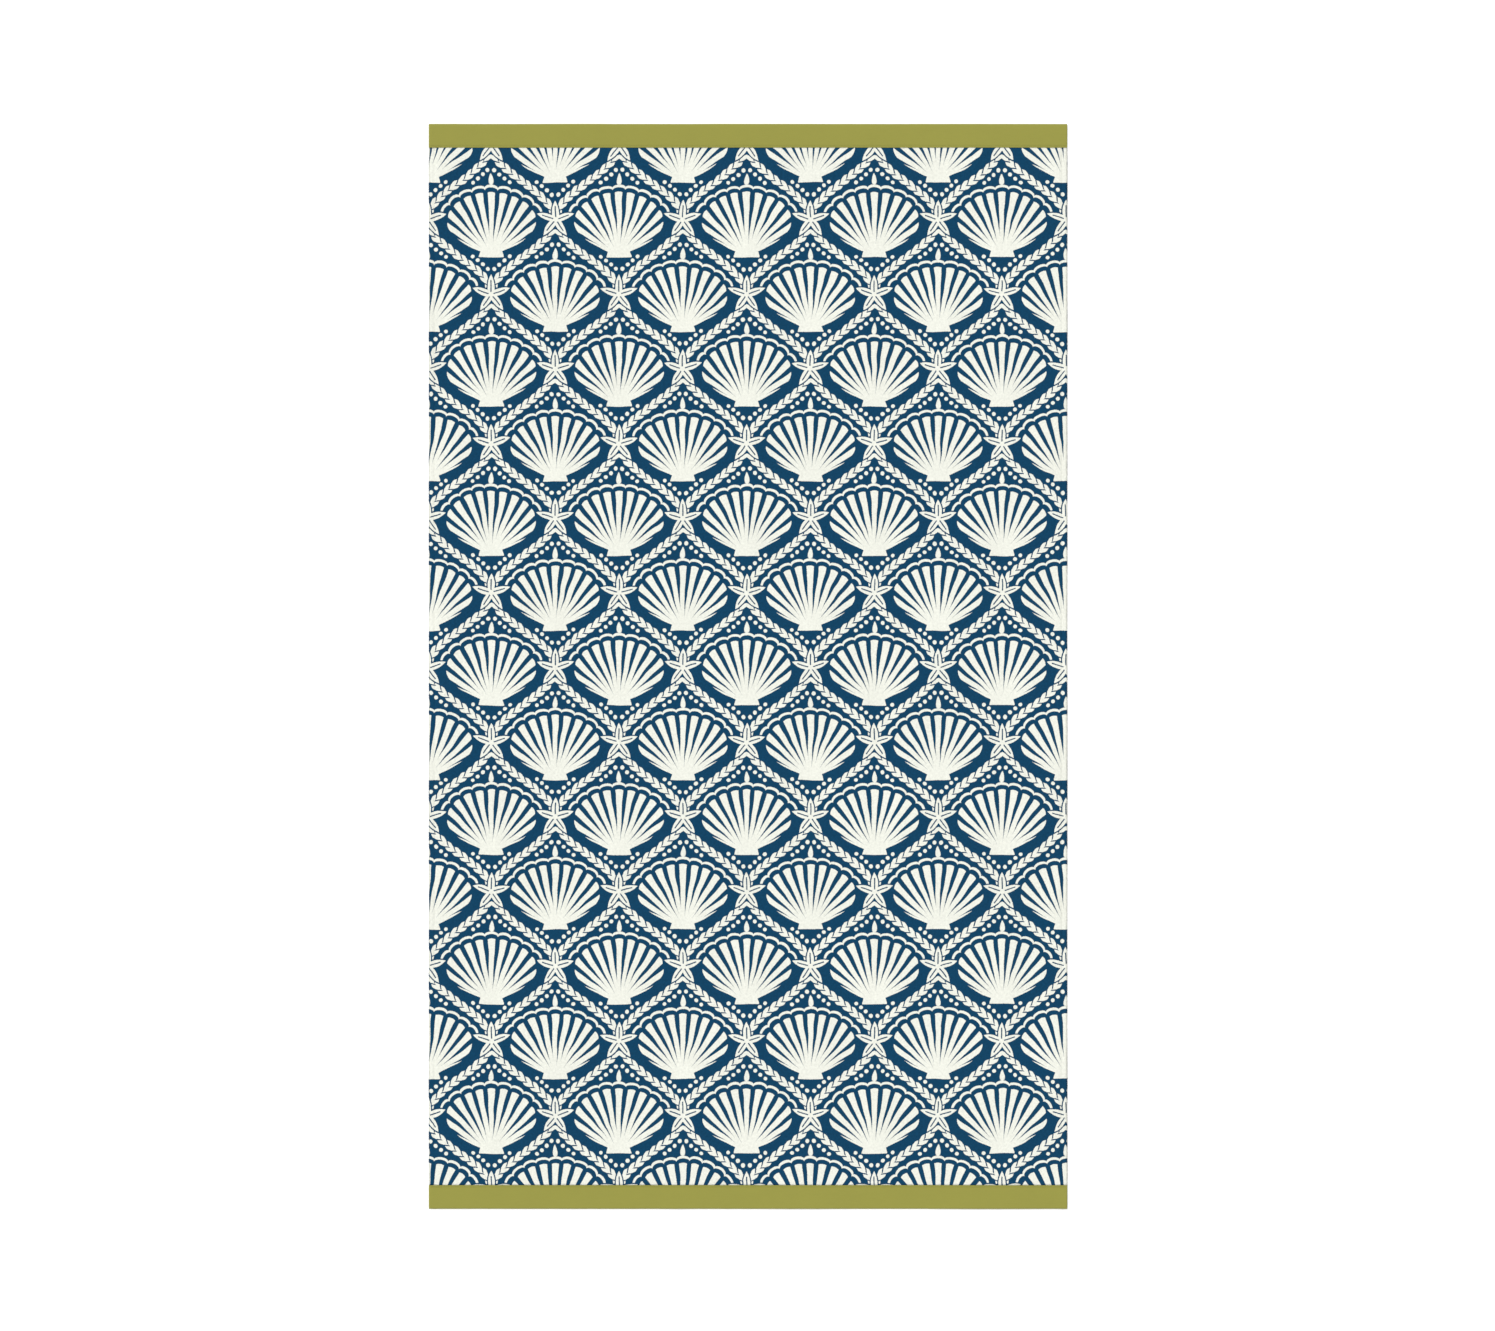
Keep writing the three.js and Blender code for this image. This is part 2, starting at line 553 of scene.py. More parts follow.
# The back of the cloth: undyed loops that nobody has sheared.
def loopedBack():
    finish = Finish(
        "looped_back", Sheen_Weight=0.03, Sheen_Roughness=0.5, Specular_IOR_Level=0.12
    )
    place = finish.place()
    apart, rowsApart = backLoops["pitch"]
    counted = finish.squeezed(place, 1 / apart, 1 / rowsApart)
    fromLoop, lean = finish.cells(counted, 1.0, backLoops["scatter"])
    gap = fromLoop.rise(*backLoops["gapEdge"])
    yarn = finish.wander(place, backLoops["yarn"])
    patch = finish.wander(place, backLoops["patch"], detail=2.0)
    tone = backLoops["tone"]
    # The gap darkens the colour as painted shade between the loops, and each loop's own number
    # adds painted sheen.
    shade = gap * tone["gap"] + lean.swing(tone["lean"]) + yarn.swing(tone["yarn"])
    shade = shade + patch.swing(tone["patch"]) + tone["level"]
    relief = backLoops["relief"]
    height = (1 - gap) * (lean * relief["lean"] + relief["loop"]) + yarn * relief["yarn"]
    rough = backLoops["rough"]
    return finish.use(
        Base_Color=finish.shaded(backLoops["undyed"], shade),
        Roughness=gap * rough["gap"] + rough["level"],
        Normal=finish.bump(height, backLoops["depth"], backLoops["strength"]),
    )


tapeCloth = {
    "olive": srgb(134, 132, 60),
    "yarn": 0.55,  # from one yarn to the next
    "slub": (0.05, 1.6),  # thick places in the yarns, long along the tape
    "worn": 60.0,
    # In the tone, weave is painted light and shade on the yarns.
    "tone": {"level": 0.955, "weave": 0.05, "slub": 0.07, "worn": 0.05},
    "slubRelief": 0.6,
    "rough": {"level": 0.86, "weave": -0.06, "worn": 0.06},
    "depth": 0.12 * mm,
    "strength": 0.8,
}


# A plain weave, read from the tape's own map: along it and across it, in metres.
def oliveTape():
    finish = Finish(
        "olive_tape", Sheen_Weight=0.03, Sheen_Roughness=0.4, Specular_IOR_Level=0.2
    )
    along, across, _ = finish.parts(finish.node("ShaderNodeUVMap", {"uv_map": "tape"}))
    turn = math.pi / (tapeCloth["yarn"] * mm)
    warp = abs((across * turn).sine())
    weft = abs((along * turn).sine())
    weftOver = ((along * (turn / 2)).sine() * (across * (turn / 2)).sine()) > 0.0
    weave = finish.choose(weftOver, warp, weft)
    place = finish.place()
    slub = finish.wander(finish.squeezed(place, *tapeCloth["slub"]), 1.0, detail=2.0)
    worn = finish.wander(place, tapeCloth["worn"], detail=3.0)
    tone = tapeCloth["tone"]
    # The raised yarns are painted lighter and the dips between them darker: painted light and
    # shade on the weave.
    shade = weave * tone["weave"] + slub.swing(tone["slub"])
    shade = shade + worn.swing(tone["worn"]) + tone["level"]
    height = weave + slub * tapeCloth["slubRelief"]
    rough = tapeCloth["rough"]
    return finish.use(
        Base_Color=finish.shaded(tapeCloth["olive"], shade),
        Roughness=weave * rough["weave"] + worn.swing(rough["worn"]) + rough["level"],
        Normal=finish.bump(height, tapeCloth["depth"], tapeCloth["strength"]),
    )


threads = {
    "olive": srgb(128, 125, 56),
    "undyed": srgb(208, 206, 196),
    "twist": 9.0,  # radians for each millimetre along the thread
    "twistUp": 2.0,  # times as fast upwards
    "patch": 14.0,
    # In the tone, ply is painted light and shade on the twist.
    "tone": {"level": 0.93, "ply": 0.04, "patch": 0.1},
    "rough": {"level": 0.72, "patch": 0.1},
    "depth": 0.06 * mm,
    "strength": 0.8,
}


# Spun sewing thread, twisted along its length.
def threadFinish(name, colour):
    finish = Finish(name, Sheen_Weight=0.05, Sheen_Roughness=0.4, Specular_IOR_Level=0.3)
    place = finish.place()
    x, y, z = finish.parts(place)
    ply = ((x + y + z * threads["twistUp"]) * threads["twist"]).sine()
    patch = finish.wander(place, threads["patch"], detail=2.0)
    tone = threads["tone"]
    # The twist's ridges are painted lighter and its grooves darker: painted light and shade.
    shade = ply * tone["ply"] + patch.swing(tone["patch"]) + tone["level"]
    rough = threads["rough"]
    return finish.use(
        Base_Color=finish.shaded(colour, shade),
        Roughness=patch * rough["patch"] + rough["level"],
        Normal=finish.bump(ply, threads["depth"], threads["strength"]),
    )


# Making pieces

def addObject(name, mesh, material, body="root"):
    piece = bpy.data.objects.new(name, mesh)
    bpy.context.scene.collection.objects.link(piece)
    mesh.materials.append(material)
    if body:
        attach(piece, body)
    return piece


def meshFrom(bm, name):
    mesh = bpy.data.meshes.new(name)
    bm.to_mesh(mesh)
    bm.free()
    return mesh


# Puts the modifiers' result in the mesh itself.
def settle(piece):
    evaluated = piece.evaluated_get(bpy.context.evaluated_depsgraph_get())
    result = bpy.data.meshes.new_from_object(evaluated)
    piece.modifiers.clear()
    piece.data = result


def smooth(piece, sharpFrom=None):
    piece.data.shade_smooth()
    if sharpFrom:
        piece.data.set_sharp_from_angle(angle=math.radians(sharpFrom))


def faceOut(piece):
    bm = bmesh.new()
    bm.from_mesh(piece.data)
    bmesh.ops.recalc_face_normals(bm, faces=bm.faces)
    bm.to_mesh(piece.data)
    bm.free()


# A flat grid whose vertices stand on whole numbers, ready to be shaped.
def countedGrid(columns, rows):
    bm = bmesh.new()
    bmesh.ops.create_grid(bm, x_segments=columns, y_segments=rows, size=1.0)
    bmesh.ops.translate(bm, verts=bm.verts, vec=(1, 1, 0))
    bmesh.ops.scale(bm, verts=bm.verts, vec=(columns / 2, rows / 2, 1))
    return bm


# Reads a table of (distance, value) rows, in straight steps between them.
def fromTable(rows, distance):
    if distance <= rows[0][0]:
        return rows[0][1]
    for (near, low), (far, high) in zip(rows, rows[1:]):
        if distance <= far:
            return low + (high - low) * (distance - near) / (far - near)
    return rows[-1][1]


# Soft noise over the cloth. Each seed reads its own layer of it.
def ripple(x, y, size, seed):
    layersApart = 7.3
    return noise.noise(Vector((x / size, y / size, seed * layersApart)))


# Several ripples together, each with its size, its seed and its share.
def ripples(x, y, waves):
    return sum(share * ripple(x, y, size, seed) for size, seed, share in waves)


# The cloth rises where its noise and the level together are above nothing.
settling = {
    "broad": {"height": 2.6 * mm, "size": 170 * mm, "seed": 21, "level": 0.22},
    "edge": {"height": 0.9 * mm, "size": 50 * mm, "seed": 22, "level": 0.2},
    "edgeWidth": 70 * mm,
}


# How far the cloth stands off the floor where it hasn't settled quite flat.
def lift(x, y):
    def swell(wave):
        above = ripple(x, y, wave["size"], wave["seed"]) + wave["level"]
        return wave["height"] * max(0.0, above) ** 2

    toEdge = min(towel["halfWidth"] - abs(x), towel["halfLength"] - abs(y))
    near = max(0.0, 1 - max(0.0, toEdge) / settling["edgeWidth"]) ** 2
    return swell(settling["broad"]) + near * swell(settling["edge"])


# The printed panel

hemSeam = {
    "pitch": 3.6 * mm,
    "inset": 8.5 * mm,  # from the side edge
    "height": 2.78 * mm,
    "radius": 0.26 * mm,
    "endGap": 2.0 * mm,  # from a band to the first stitch
    "seed": 31,
}

# The tables' distances and heights are in millimetres, and each row of the first
# two places a line of the mesh.
panel = {
    "columnStep": 5.0 * mm,
    "rowStep": 8.0 * mm,
    "wallLevels": 3,
    # The face's height at each distance in from the side edge.
    "hemHeights": [
        (0.5, 2.3), (1.6, 3.05), (3.5, 3.35), (6.0, 3.2), (7.5, 2.95), (8.5, 2.6),
        (9.5, 2.95), (11.0, 3.4), (14.0, 3.5),
    ],
    # The share of the height that is left at each distance back from a band.
    "seamShares": [(0.0, 0.8), (0.7, 0.93), (2.2, 1.0), (5.0, 1.0), (9.0, 1.0)],
    # The underside has a shallow channel for the hem's lower stitches.
    "hemChannel": [(7.5, 0.0), (8.5, 0.5), (9.5, 0.5), (11.0, 0.0)],
    # The rolled side edge, from the underside up: distance in, and height.
    "sideRoll": [(1.1, 0.0), (0.3, 0.55), (0.0, 1.45), (0.5, 2.3)],
    # The thin end inside a band.
    "tongue": {"halfWidth": 498.15 * mm, "low": 0.85 * mm, "high": 2.35 * mm},
    "tongueReach": [33.5, 16.0, 0.4],  # past the pile
    "loopsPastSeam": 0.1 * mm,  # the loops of the back end just outside the hem's seam
    "uneven": 0.28 * mm,
    "unevenWaves": [(110 * mm, 1, 1.0), (28 * mm, 2, 0.5)],
    "unevenFrom": 20 * mm,  # from the side edge
    "sway": 0.35 * mm,
    "swayWaves": [(120 * mm, 3, 1.0), (30 * mm, 5, 0.5)],
    "swayFade": 8,
}


# How far the side edge strays from a straight line.
def sideSway(y):
    return panel["sway"] * ripples(0, y, panel["swayWaves"])


# Places from one side to the other: close together near both ends, even between.
def stations(half, insets, step):
    ends = [half - inset * mm for inset in insets]
    count = round(2 * ends[-1] / step)
    middle = [-ends[-1] + 2 * ends[-1] * i / count for i in range(1, count)]
    return [-value for value in ends] + middle + list(reversed(ends))


# Where the panel lies on the map that its finish is baked to: the face takes most
# of the width, its walls stand beside it, and the underside has a strip of its own.
panelMap = {
    "face": (0.01, 0.80),  # where it starts, and how wide it is
    "under": (0.83, 0.16),
    "length": (0.004, 0.992),
    "wallStep": (0.002, 0.001),  # for each level down a wall, across and along
}


# Lays the counted grid on that map, and gives the loops their part of the underside.
def mapPanel(bm, xs, ys):
    layer = bm.loops.layers.uv.new("OFBake")
    loopsEnd = towel["halfWidth"] - hemSeam["inset"] + panel["loopsPastSeam"]
    bottom, length = panelMap["length"]
    stepAcross, stepAlong = panelMap["wallStep"]
    for face in bm.faces:
        corners = [tuple(round(n) for n in v.co) for v in face.verts]
        columns, rows, levels = (set(part) for part in zip(*corners))
        under = levels == {0}
        if under and max(abs(xs[column]) for column in columns) < loopsEnd:
            face.material_index = 1
        start, width = panelMap["under" if under else "face"]
        for loop, (column, row, level) in zip(face.loops, corners):
            across = (xs[column] - xs[0]) / (xs[-1] - xs[0])
            along = (ys[row] - ys[0]) / (ys[-1] - ys[0])
            u = start + width * across
            v = bottom + length * along
            down = panel["wallLevels"] - level
            if len(columns) == 1:
                u += math.copysign(down * stepAcross, across - 0.5)
            if len(rows) == 1:
                v += math.copysign(down * stepAlong, along - 0.5)
            loop[layer].uv = (u, v)


# A point of the thin end, which is pressed flat inside a band.
def tonguePoint(x, y, level):
    tongue = panel["tongue"]
    height = tongue["low"] + (tongue["high"] - tongue["low"]) * level / panel["wallLevels"]
    return (x * tongue["halfWidth"] / towel["halfWidth"], y, height + lift(x, y))


# A point between the bands: on the face, round the rolled side or underneath.
def pilePoint(x, y, level, atSide):
    fromSide = towel["halfWidth"] - abs(x)
    if atSide:
        inset, height = panel["sideRoll"][level]
        x = math.copysign(towel["halfWidth"] - inset * mm, x)
        height *= mm
    elif level == 0:
        height = fromTable(panel["hemChannel"], fromSide / mm) * mm
    else:
        height = fromTable(panel["hemHeights"], fromSide / mm) * mm
        free = min(1.0, fromSide / panel["unevenFrom"])
        height += panel["uneven"] * free * ripples(x, y, panel["unevenWaves"])
    fade = (abs(x) / towel["halfWidth"]) ** panel["swayFade"]
    x += math.copysign(sideSway(y), x) * fade
    share = fromTable(panel["seamShares"], (pileEnd - abs(y)) / mm)
    return (x, y, height * share + lift(x, y))


def makePanel(printed, looped):
    xs = stations(towel["halfWidth"], [row[0] for row in panel["hemHeights"]], panel["columnStep"])
    ys = stations(pileEnd, [row[0] for row in panel["seamShares"]], panel["rowStep"])
    tongueYs = [pileEnd + reach * mm for reach in panel["tongueReach"]]
    ys = [-y for y in tongueYs] + ys + list(reversed(tongueYs))
    columns = len(xs) - 1
    rows = len(ys) - 1
    levels = panel["wallLevels"]

    bm = countedGrid(columns, rows)
    lifted = bmesh.ops.extrude_face_region(bm, geom=bm.faces[:])["geom"]
    top = [v for v in lifted if isinstance(v, bmesh.types.BMVert)]
    bmesh.ops.translate(bm, verts=top, vec=(0, 0, levels))
    walls = [e for e in bm.edges if e.verts[0].co.z != e.verts[1].co.z]
    bmesh.ops.subdivide_edges(bm, edges=walls, cuts=levels - 1)
    bmesh.ops.recalc_face_normals(bm, faces=bm.faces)
    mapPanel(bm, xs, ys)
    for v in bm.verts:
        column, row, level = (round(n) for n in v.co)
        if min(row, rows - row) < len(tongueYs):
            v.co = tonguePoint(xs[column], ys[row], level)
        else:
            v.co = pilePoint(xs[column], ys[row], level, column in (0, columns))

    piece = addObject("towel_panel", meshFrom(bm, "towel_panel"), printed)
    piece.data.materials.append(looped)
    smooth(piece)
    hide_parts("terry_panel")
    print("panel", len(piece.data.polygons), "faces")
    return piece


# The olive tapes on the ends

tape = {
    "cloth": 0.55 * mm,
    "stitches": 286,  # in one row, from side to side
    "columnsPerStitch": 3,
    "stitchIn": 3.0 * mm,  # from the inner edge
    "pucker": {"height": 0.12 * mm, "width": 3.2 * mm},
    "uneven": {"height": 0.10 * mm, "size": 22 * mm, "seed": 11},
    "sway": 0.15 * mm,
    "swayWaves": {  # for the top end and the bottom end
        1: [(90 * mm, 14, 1.0), (20 * mm, 15, 0.4)],
        -1: [(90 * mm, 12, 1.0), (20 * mm, 15, 0.4)],
    },
    "sharpFrom": 50,  # degrees
    # The middle of the tape's cloth: in from the fold, and height, mm. It runs from
    # the inner edge underneath, round the fold and over to the inner edge on the face.
    "path": [
        (37.2, 0.29), (35.7, 0.30), (34.5, 0.56), (33.3, 0.32), (30.0, 0.28),
        (24.0, 0.28), (17.0, 0.28), (10.0, 0.28), (5.0, 0.28), (2.6, 0.30),
        (1.2, 0.52), (0.5, 0.95), (0.28, 1.6), (0.5, 2.25), (1.2, 2.66), (2.6, 2.87),
        (5.0, 2.92), (9.0, 2.93), (14.0, 2.92), (19.0, 2.92), (24.0, 2.93),
        (28.5, 2.92), (31.5, 2.92), (33.3, 2.86), (34.5, 2.60), (35.7, 2.84),
        (36.6, 2.86), (37.2, 2.74),
    ],
    # The share of the thickness left at each distance in from a short end, mm.
    "tuckedShares": [(0.0, 0.205), (0.4, 0.52), (1.0, 0.85), (1.6, 1.0)],
    "mapRows": 6,  # its baked map holds it in so many lengths, one above the other
    "mapRowFill": (0.03, 0.94),  # where the tape starts in its row, and how wide it is
}
stitchPitch = 2 * towel["halfWidth"] / tape["stitches"]


# Gives the tape a map in metres for its weave, and one that its finish is baked to.
def mapTape(bm, columns):
    woven = bm.loops.layers.uv.new("tape")
    baked = bm.loops.layers.uv.new("OFBake")
    run = [0.0]
    for (nearIn, nearUp), (farIn, farUp) in zip(tape["path"], tape["path"][1:]):
        run.append(run[-1] + math.hypot(farIn - nearIn, farUp - nearUp) * mm)
    perLength = columns / tape["mapRows"]
    start, fill = tape["mapRowFill"]
    for face in bm.faces:
        length = int(face.calc_center_median().x / perLength)
        for loop in face.loops:
            column, row = round(loop.vert.co.x), round(loop.vert.co.y)
            loop[woven].uv = (2 * towel["halfWidth"] * column / columns, run[row])
            upRow = start + fill * run[row] / run[-1]
            loop[baked].uv = (column / perLength - length, (length + upRow) / tape["mapRows"])


# A point of the tape's cloth: a share of the way across the towel, on a row of the path.
def tapePoint(across, row, end):
    x = towel["halfWidth"] * (2 * across - 1)
    inset, height = (value * mm for value in tape["path"][row])
    middle = towel["bandThickness"] / 2
    if height > middle:
        # Each stitch draws the cloth down, and it stands up between them.
        fromRow = (inset - towel["bandDepth"] + tape["stitchIn"]) / tape["pucker"]["width"]
        wave = math.cos(math.tau * x / stitchPitch)
        height += tape["pucker"]["height"] * math.exp(-fromRow * fromRow) * wave
        uneven = tape["uneven"]
        height += uneven["height"] * ripple(x, inset, uneven["size"], uneven["seed"])
    sway = tape["sway"] * ripples(x, 0, tape["swayWaves"][end])
    share = fromTable(tape["tuckedShares"], (towel["halfWidth"] - abs(x)) / mm)
    y = end * (towel["halfLength"] - inset + sway)
    return (x, y, middle + (height - middle) * share + lift(x, y))


def makeTape(name, node, cloth, end):
    columns = tape["stitches"] * tape["columnsPerStitch"]
    bm = countedGrid(columns, len(tape["path"]) - 1)
    mapTape(bm, columns)
    for v in bm.verts:
        v.co = tapePoint(round(v.co.x) / columns, round(v.co.y), end)

    piece = addObject(name, meshFrom(bm, name), cloth)
    wall = piece.modifiers.new("cloth", "SOLIDIFY")
    wall.thickness = tape["cloth"]
    wall.offset = 0.0
    settle(piece)
    faceOut(piece)
    smooth(piece, tape["sharpFrom"])
    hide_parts(node)
    print(name, len(piece.data.polygons), "faces")
    return piece


# Stitches and pile, as many small copies

# Copies of one small shape, each put in place by its own matrix.
def copiesOf(name, bm, places, material):
    piece = addObject(name, meshFrom(bm, name), material)
    base = [v.co.copy() for v in piece.data.vertices]
    array = piece.modifiers.new("copies", "ARRAY")
    array.count = len(places)
    array.use_relative_offset = False
    settle(piece)
    points = []
    for place in places:
        for co in base:
            points.extend(place @ co)
    piece.data.vertices.foreach_set("co", points)
    piece.data.update()
    smooth(piece)
    return piece


# A place on the cloth, which may stand a little off the floor there.
def standing(x, y, height):
    return Matrix.Translation((x, y, height + lift(x, y)))


def turned(angle):
    return Matrix.Rotation(angle, 4, "Z")


stitch = {
    "length": 3.0 * mm,
    "radius": 0.31 * mm,
    "arch": 0.24 * mm,
    "segments": (6, 5),  # round the thread, and along it
    "height": 3.06 * mm,  # on the tape's face
    "lowerHeight": 0.33 * mm,  # underneath
    "stray": 0.1 * mm,  # how far a stitch may stand out of its row
    "askew": 0.05,  # how far it may turn, in radians
}
upsideDown = Matrix.Rotation(math.pi, 4, "X")


# One lockstitch: a short plump length of thread whose ends go down into the cloth.
def stitchShape(radius):
    around, lengthwise = stitch["segments"]
    halfLength = stitch["length"] / 2
    bm = bmesh.new()
    bmesh.ops.create_uvsphere(bm, u_segments=around, v_segments=lengthwise, radius=1.0)
    bmesh.ops.rotate(bm, verts=bm.verts, matrix=Matrix.Rotation(math.pi / 2, 3, "Y"))
    bmesh.ops.scale(bm, verts=bm.verts, vec=(halfLength, radius, radius))
    for v in bm.verts:
        v.co.z -= stitch["arch"] * (v.co.x / halfLength) ** 2
    return bm


# The seam is sewn back over itself at both sides.
backStitches = {
    "count": 5,
    "start": 1.45,  # stitches in from the side
    "inwards": 0.3 * mm,
    "height": 3.16 * mm,
    "askew": 0.08,
}


def sewTape(name, thread, end, seed):
    draw = random.Random(seed)
    stray, askew = stitch["stray"], stitch["askew"]
    y = end * (bandInnerEdge + tape["stitchIn"])
    places = []
    for index in range(1, tape["stitches"]):
        x = stitchPitch * index - towel["halfWidth"]
        spot = standing(x, y + draw.uniform(-stray, stray), stitch["height"])
        places.append(spot @ turned(draw.uniform(-askew, askew)))
        if index < tape["stitches"] - 1:  # below, they lie between those above
            lower = standing(x + stitchPitch / 2, y, stitch["lowerHeight"])
            places.append(lower @ upsideDown)
    y -= end * backStitches["inwards"]
    askew = backStitches["askew"]
    for index in range(backStitches["count"]):
        for side in (-1, 1):
            x = side * (towel["halfWidth"] - stitchPitch * (index + backStitches["start"]))
            spot = standing(x, y, backStitches["height"])
            places.append(spot @ turned(draw.uniform(-askew, askew)))
    piece = copiesOf(name, stitchShape(stitch["radius"]), places, thread)
    return piece


# The hems are sewn before the cloth is printed, so the thread on the face has the
# print's own colours. Underneath it is undyed.
def sewHems(printed, undyed):
    draw = random.Random(hemSeam["seed"])
    stray, askew = stitch["stray"], stitch["askew"]
    places = []
    below = []
    count = round(2 * (pileEnd - hemSeam["endGap"]) / hemSeam["pitch"])
    for side in (-1, 1):
        for index in range(count):
            y = (index + 0.5 - count / 2) * hemSeam["pitch"]
            x = side * (towel["halfWidth"] - hemSeam["inset"]) + draw.uniform(-stray, stray)
            turn = turned(math.pi / 2 + draw.uniform(-askew, askew))
            places.append(standing(x, y, hemSeam["height"]) @ turn)
            below.append(standing(x, y, stitch["lowerHeight"]) @ turn @ upsideDown)
    pieces = [
        copiesOf("hem_stitches", stitchShape(hemSeam["radius"]), places, printed),
        copiesOf("hem_stitches_under", stitchShape(hemSeam["radius"]), below, undyed),
    ]
    return pieces


pile = {
    "radius": 0.2 * mm,
    "length": (1.0 * mm, 1.8 * mm),
    "steepestDown": -0.2,  # so that no tuft reaches the floor
    "mapMargin": 0.1,  # round a tuft's faces, in its own square of the baked map
    "mapFace": 0.45,  # from one of its faces to the next
}


# One tuft: a thin three-sided spike standing on its base.
def tuftShape():
    bm = bmesh.new()
    bmesh.ops.create_cone(
        bm, cap_ends=True, segments=3, radius1=pile["radius"], radius2=0.0, depth=1.0
    )
    bmesh.ops.translate(bm, verts=bm.verts, vec=(0, 0, 0.5))
    bmesh.ops.recalc_face_normals(bm, faces=bm.faces)
    return bm


# Gives each tuft its own square on the map that its finish is baked to, in the
# order that they stand in along the cloth. Its four faces take a quarter each.
def mapTufts(piece, count):
    layer = piece.data.uv_layers.new(name="OFBake")
    perSide = math.ceil(math.sqrt(count))
    low, step = pile["mapMargin"], pile["mapFace"]
    faceCorners = ((low, low), (step, low), (low, step))
    shifts = ((0.0, 0.0), (step, 0.0), (0.0, step), (step, step))
    corners = [(x + right, y + up) for right, up in shifts for x, y in faceCorners]
    spots = []
    for index in range(count):
        row, column = divmod(index, perSide)
        for x, y in corners:
            spots.extend(((column + x) / perSide, (row + y) / perSide))
    layer.uv.foreach_set("vector", spots)


def tuftPlace(draw, root, lean, spread):
    lean = Vector(lean) + Vector([draw.uniform(-spread, spread) for _ in range(3)])
    lean.z = max(lean.z, pile["steepestDown"])
    turn = lean.to_track_quat("Z", "Y").to_matrix().to_4x4()
    twist = turned(draw.uniform(0, math.tau))
    length = draw.uniform(*pile["length"])
    return standing(*root) @ turn @ twist @ Matrix.Diagonal((1, 1, length, 1))


def makePile(name, places, printed):
    piece = copiesOf(name, tuftShape(), places, printed)
    mapTufts(piece, len(places))
    return piece


# The pile that stands out round the rolled sides.
sideTufts = {
    "perSide": 15000,
    "angles": (-0.5, 1.35),  # round the roll: below level, and up towards upright
    "rollIn": 2.2 * mm,  # the roll's middle: in from the side edge, and up
    "rollUp": 1.55 * mm,
    "rollHalfWidth": 1.5 * mm,
    "rollHalfHeight": 1.25 * mm,
    "flatter": 0.7,
    "spread": 0.45,
    "seed": 41,
}


def sidePile(printed):
    draw = random.Random(sideTufts["seed"])
    places = []
    for side in (-1, 1):
        for _ in range(sideTufts["perSide"]):
            angle = draw.uniform(*sideTufts["angles"])
            y = draw.uniform(-pileEnd, pileEnd)
            reach = sideTufts["rollHalfWidth"] * math.cos(angle) - sideTufts["rollIn"]
            x = side * (towel["halfWidth"] + reach + sideSway(y))
            z = sideTufts["rollUp"] + sideTufts["rollHalfHeight"] * math.sin(angle)
            lean = (side * math.cos(angle), 0, sideTufts["flatter"] * math.sin(angle))
            places.append(tuftPlace(draw, (x, y, z), lean, sideTufts["spread"]))
    places.sort(key=lambda place: (place.translation.x > 0, place.translation.y))
    return makePile("side_pile", places, printed)


# The pile that leans over the bands' inner edges.
seamTufts = {
    "perSeam": 8000,
    "fromSide": 0.5 * mm,
    "back": (0.2, 1.8),  # mm from the pile's end
    "height": (2.4, 0.25),  # mm at its end, and more for each millimetre back
    "lean": (1.3, 0.5),  # how far it leans over there, and less for each one back
    "up": 0.8,
    "spread": 0.35,
    "seed": 43,
}


def seamPile(printed):
    draw = random.Random(seamTufts["seed"])
    places = []
    height, heightBack = seamTufts["height"]
    lean, leanBack = seamTufts["lean"]
    reach = towel["halfWidth"] - seamTufts["fromSide"]
    for end in (-1, 1):
        for _ in range(seamTufts["perSeam"]):
            x = draw.uniform(-reach, reach)
            back = draw.uniform(*seamTufts["back"])
            root = (x, end * (pileEnd - back * mm), (height + heightBack * back) * mm)
            towards = (0, end * (lean - leanBack * back), seamTufts["up"])
            places.append(tuftPlace(draw, root, towards, seamTufts["spread"]))
    places.sort(key=lambda place: (place.translation.y > 0, place.translation.x))
    return makePile("seam_pile", places, printed)


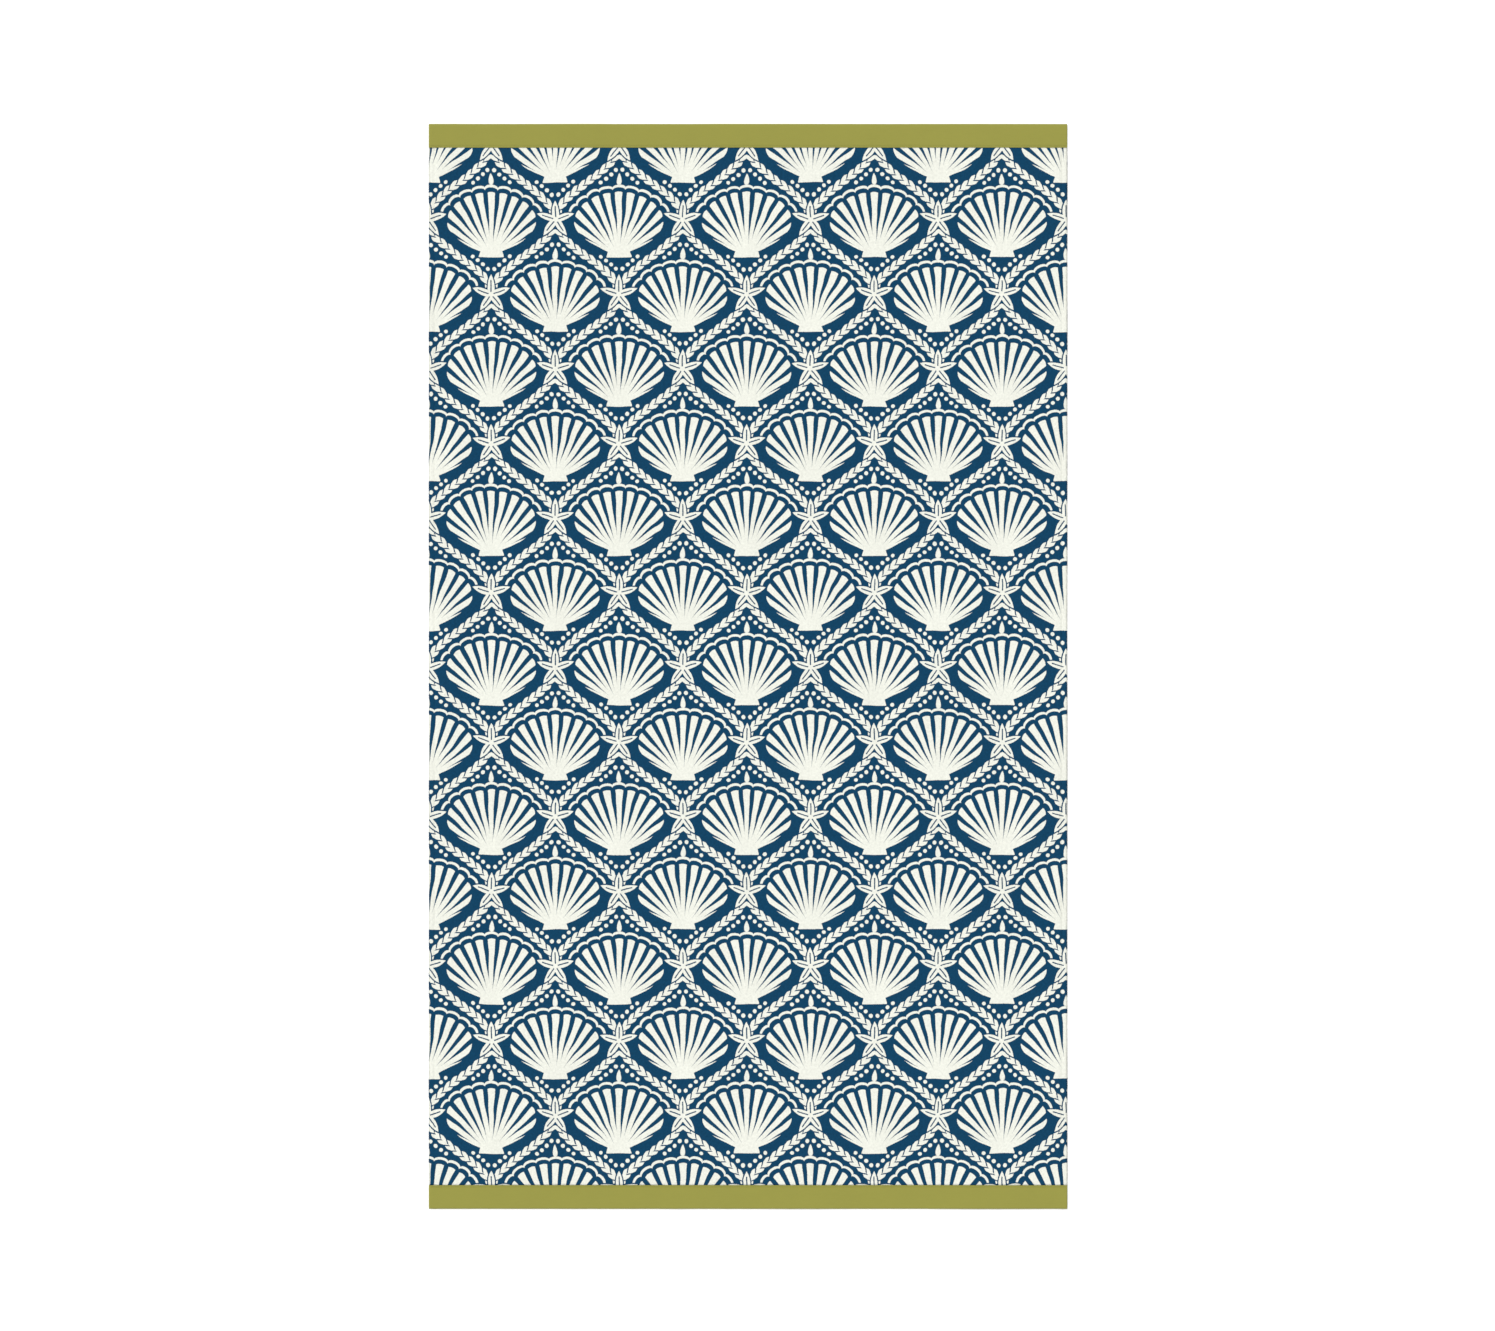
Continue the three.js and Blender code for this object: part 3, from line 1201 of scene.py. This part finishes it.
printedFinish = printedVelour()
loopedFinish = loopedBack()
oliveFinish = oliveTape()
oliveThread = threadFinish("olive_thread", threads["olive"])
undyedThread = threadFinish("undyed_thread", threads["undyed"])
print("materials", len(printedFinish.node_tree.nodes), "nodes in the print")

towelPanel = makePanel(printedFinish, loopedFinish)
topTape = makeTape("top_tape", "end_band_top", oliveFinish, end=1)
bottomTape = makeTape("bottom_tape", "end_band_bottom", oliveFinish, end=-1)
seams = [
    sewTape("top_seam", oliveThread, end=1, seed=21),
    sewTape("bottom_seam", oliveThread, end=-1, seed=22),
]
hemStitches = sewHems(printedFinish, undyedThread)
edgePile = [sidePile(printedFinish), seamPile(printedFinish)]

print("pieces done")


# Floor and light

studio = {
    "floor": srgb(246, 246, 246),
    "floorSize": 14.0,  # metres
    "floorDrop": 0.2 * mm,  # below the towel
    "grain": 300.0,  # mm
    "tone": {"level": 0.995, "grain": 0.01},
    "world": (1.0, 1.0, 1.0, 1.0),
    "worldStrength": 1.0,
    "sunStrength": 2.1,
    "sunSpread": math.radians(40),
    "sunTurn": (math.radians(42), 0.0, math.radians(-140)),
}


def addFloor():
    finish = Finish("plain_floor", Roughness=0.9, Specular_IOR_Level=0.1)
    grain = finish.wander(finish.place(), studio["grain"], detail=2.0)
    shade = grain.swing(studio["tone"]["grain"]) + studio["tone"]["level"]
    material = finish.use(Base_Color=finish.shaded(studio["floor"], shade))
    bm = bmesh.new()
    bmesh.ops.create_grid(bm, x_segments=1, y_segments=1, size=studio["floorSize"] / 2)
    bmesh.ops.translate(bm, verts=bm.verts, vec=(0, 0, -studio["floorDrop"]))
    floor = addObject("floor", meshFrom(bm, "floor"), material, body=None)


def addLight():
    world = bpy.data.worlds.new("studio")
    bpy.context.scene.world = world
    world.use_nodes = True
    background = world.node_tree.nodes["Background"]
    background.inputs["Color"].default_value = studio["world"]
    background.inputs["Strength"].default_value = studio["worldStrength"]
    data = bpy.data.lights.new("window", "SUN")
    data.energy = studio["sunStrength"]
    data.angle = studio["sunSpread"]
    light = bpy.data.objects.new("window", data)
    light.rotation_euler = studio["sunTurn"]
    bpy.context.scene.collection.objects.link(light)


addFloor()
addLight()
bpy.context.scene.view_settings.view_transform = "Standard"
print("studio done")
